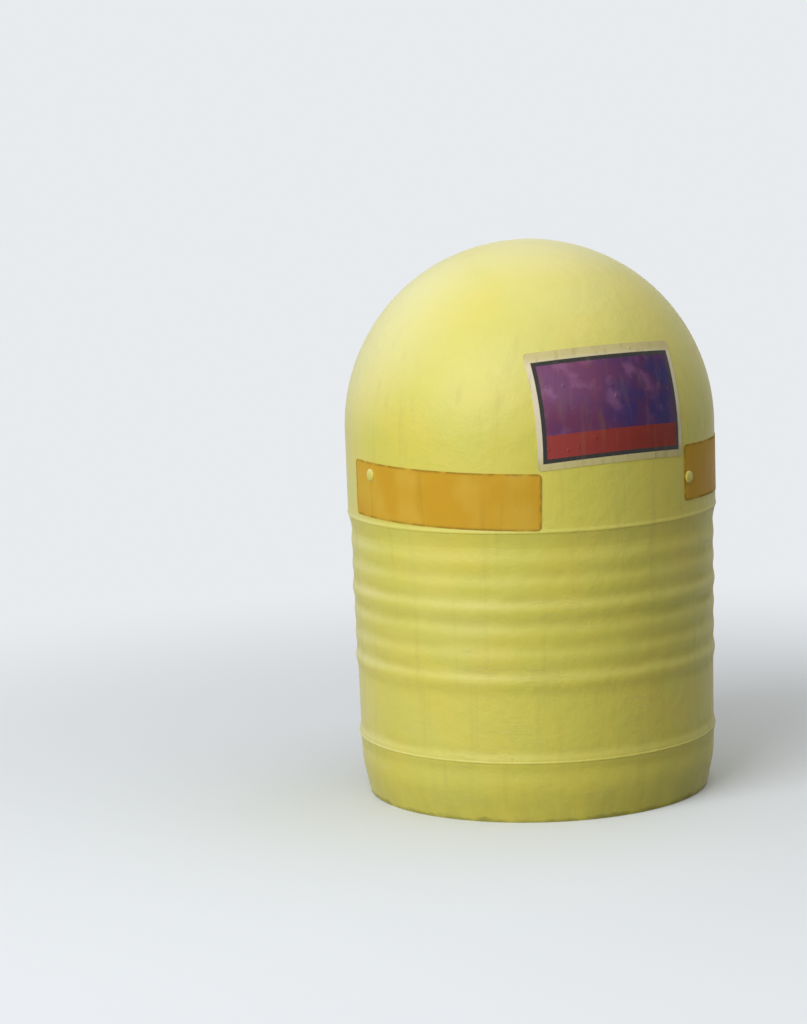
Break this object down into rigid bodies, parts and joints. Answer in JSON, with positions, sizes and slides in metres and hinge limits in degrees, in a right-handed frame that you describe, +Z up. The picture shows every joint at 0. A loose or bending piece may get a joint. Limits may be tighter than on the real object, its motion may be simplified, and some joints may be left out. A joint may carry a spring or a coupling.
{
  "type": "navigation buoy",
  "caption": "Yellow navigation buoy: domed cap on a ribbed float, reflective strips, blank notice, ballasted steel tail and a mooring swivel.",
  "frame": {"origin": "on the buoy's axis, at the waterline", "axes": "+Z up along the buoy's axis; -Y is the front, where the first strip ends and the notice begins; +X is to the right seen from the front"},
  "size_m": [0.681, 0.682, 2.0353],
  "materials": {
    "yellow_plastic": "moulded polyethylene, weathered satin",
    "reflective_sheet": "orange retroreflective sheet with a fine cell pattern",
    "notice_film": "faded printed film, blank, with a pale border",
    "galvanised_steel": "hot-dip galvanised, dull and spangled",
    "cast_iron": "rough sand-cast, tarred and rust-stained"
  },
  "bodies": {
    "buoy": {"dome_cap": "yellow_plastic", "float_body": "yellow_plastic", "tape_strip_1": "reflective_sheet", "tape_strip_2": "reflective_sheet", "tape_strip_3": "reflective_sheet", "notice_panel": "notice_film", "keel_plate": "galvanised_steel", "keel_tube": "galvanised_steel", "keel_gusset_1": "galvanised_steel", "keel_gusset_2": "galvanised_steel", "keel_gusset_3": "galvanised_steel", "keel_gusset_4": "galvanised_steel", "end_flange": "galvanised_steel", "ballast_disc_1": "cast_iron", "ballast_disc_2": "cast_iron", "ballast_disc_3": "cast_iron", "ballast_disc_4": "cast_iron", "ballast_collar": "galvanised_steel", "mooring_lug": "galvanised_steel"},
    "jaw": {"swivel_jaw": "galvanised_steel", "jaw_pin": "galvanised_steel", "jaw_pin_nut": "galvanised_steel"},
    "eye": {"swivel_eye": "galvanised_steel", "swivel_nut": "galvanised_steel"}
  },
  "joints": [
    {"name": "jaw_swing", "type": "hinge", "parent": "buoy", "child": "jaw", "pos_m": [0, 0, -0.834], "axis": [1, 0, 0], "range_deg": [-90, 90]},
    {"name": "eye_turn", "type": "hinge", "parent": "jaw", "child": "eye", "pos_m": [0, 0, -0.904], "axis": [0, 0, 1], "continuous": true}
  ]
}
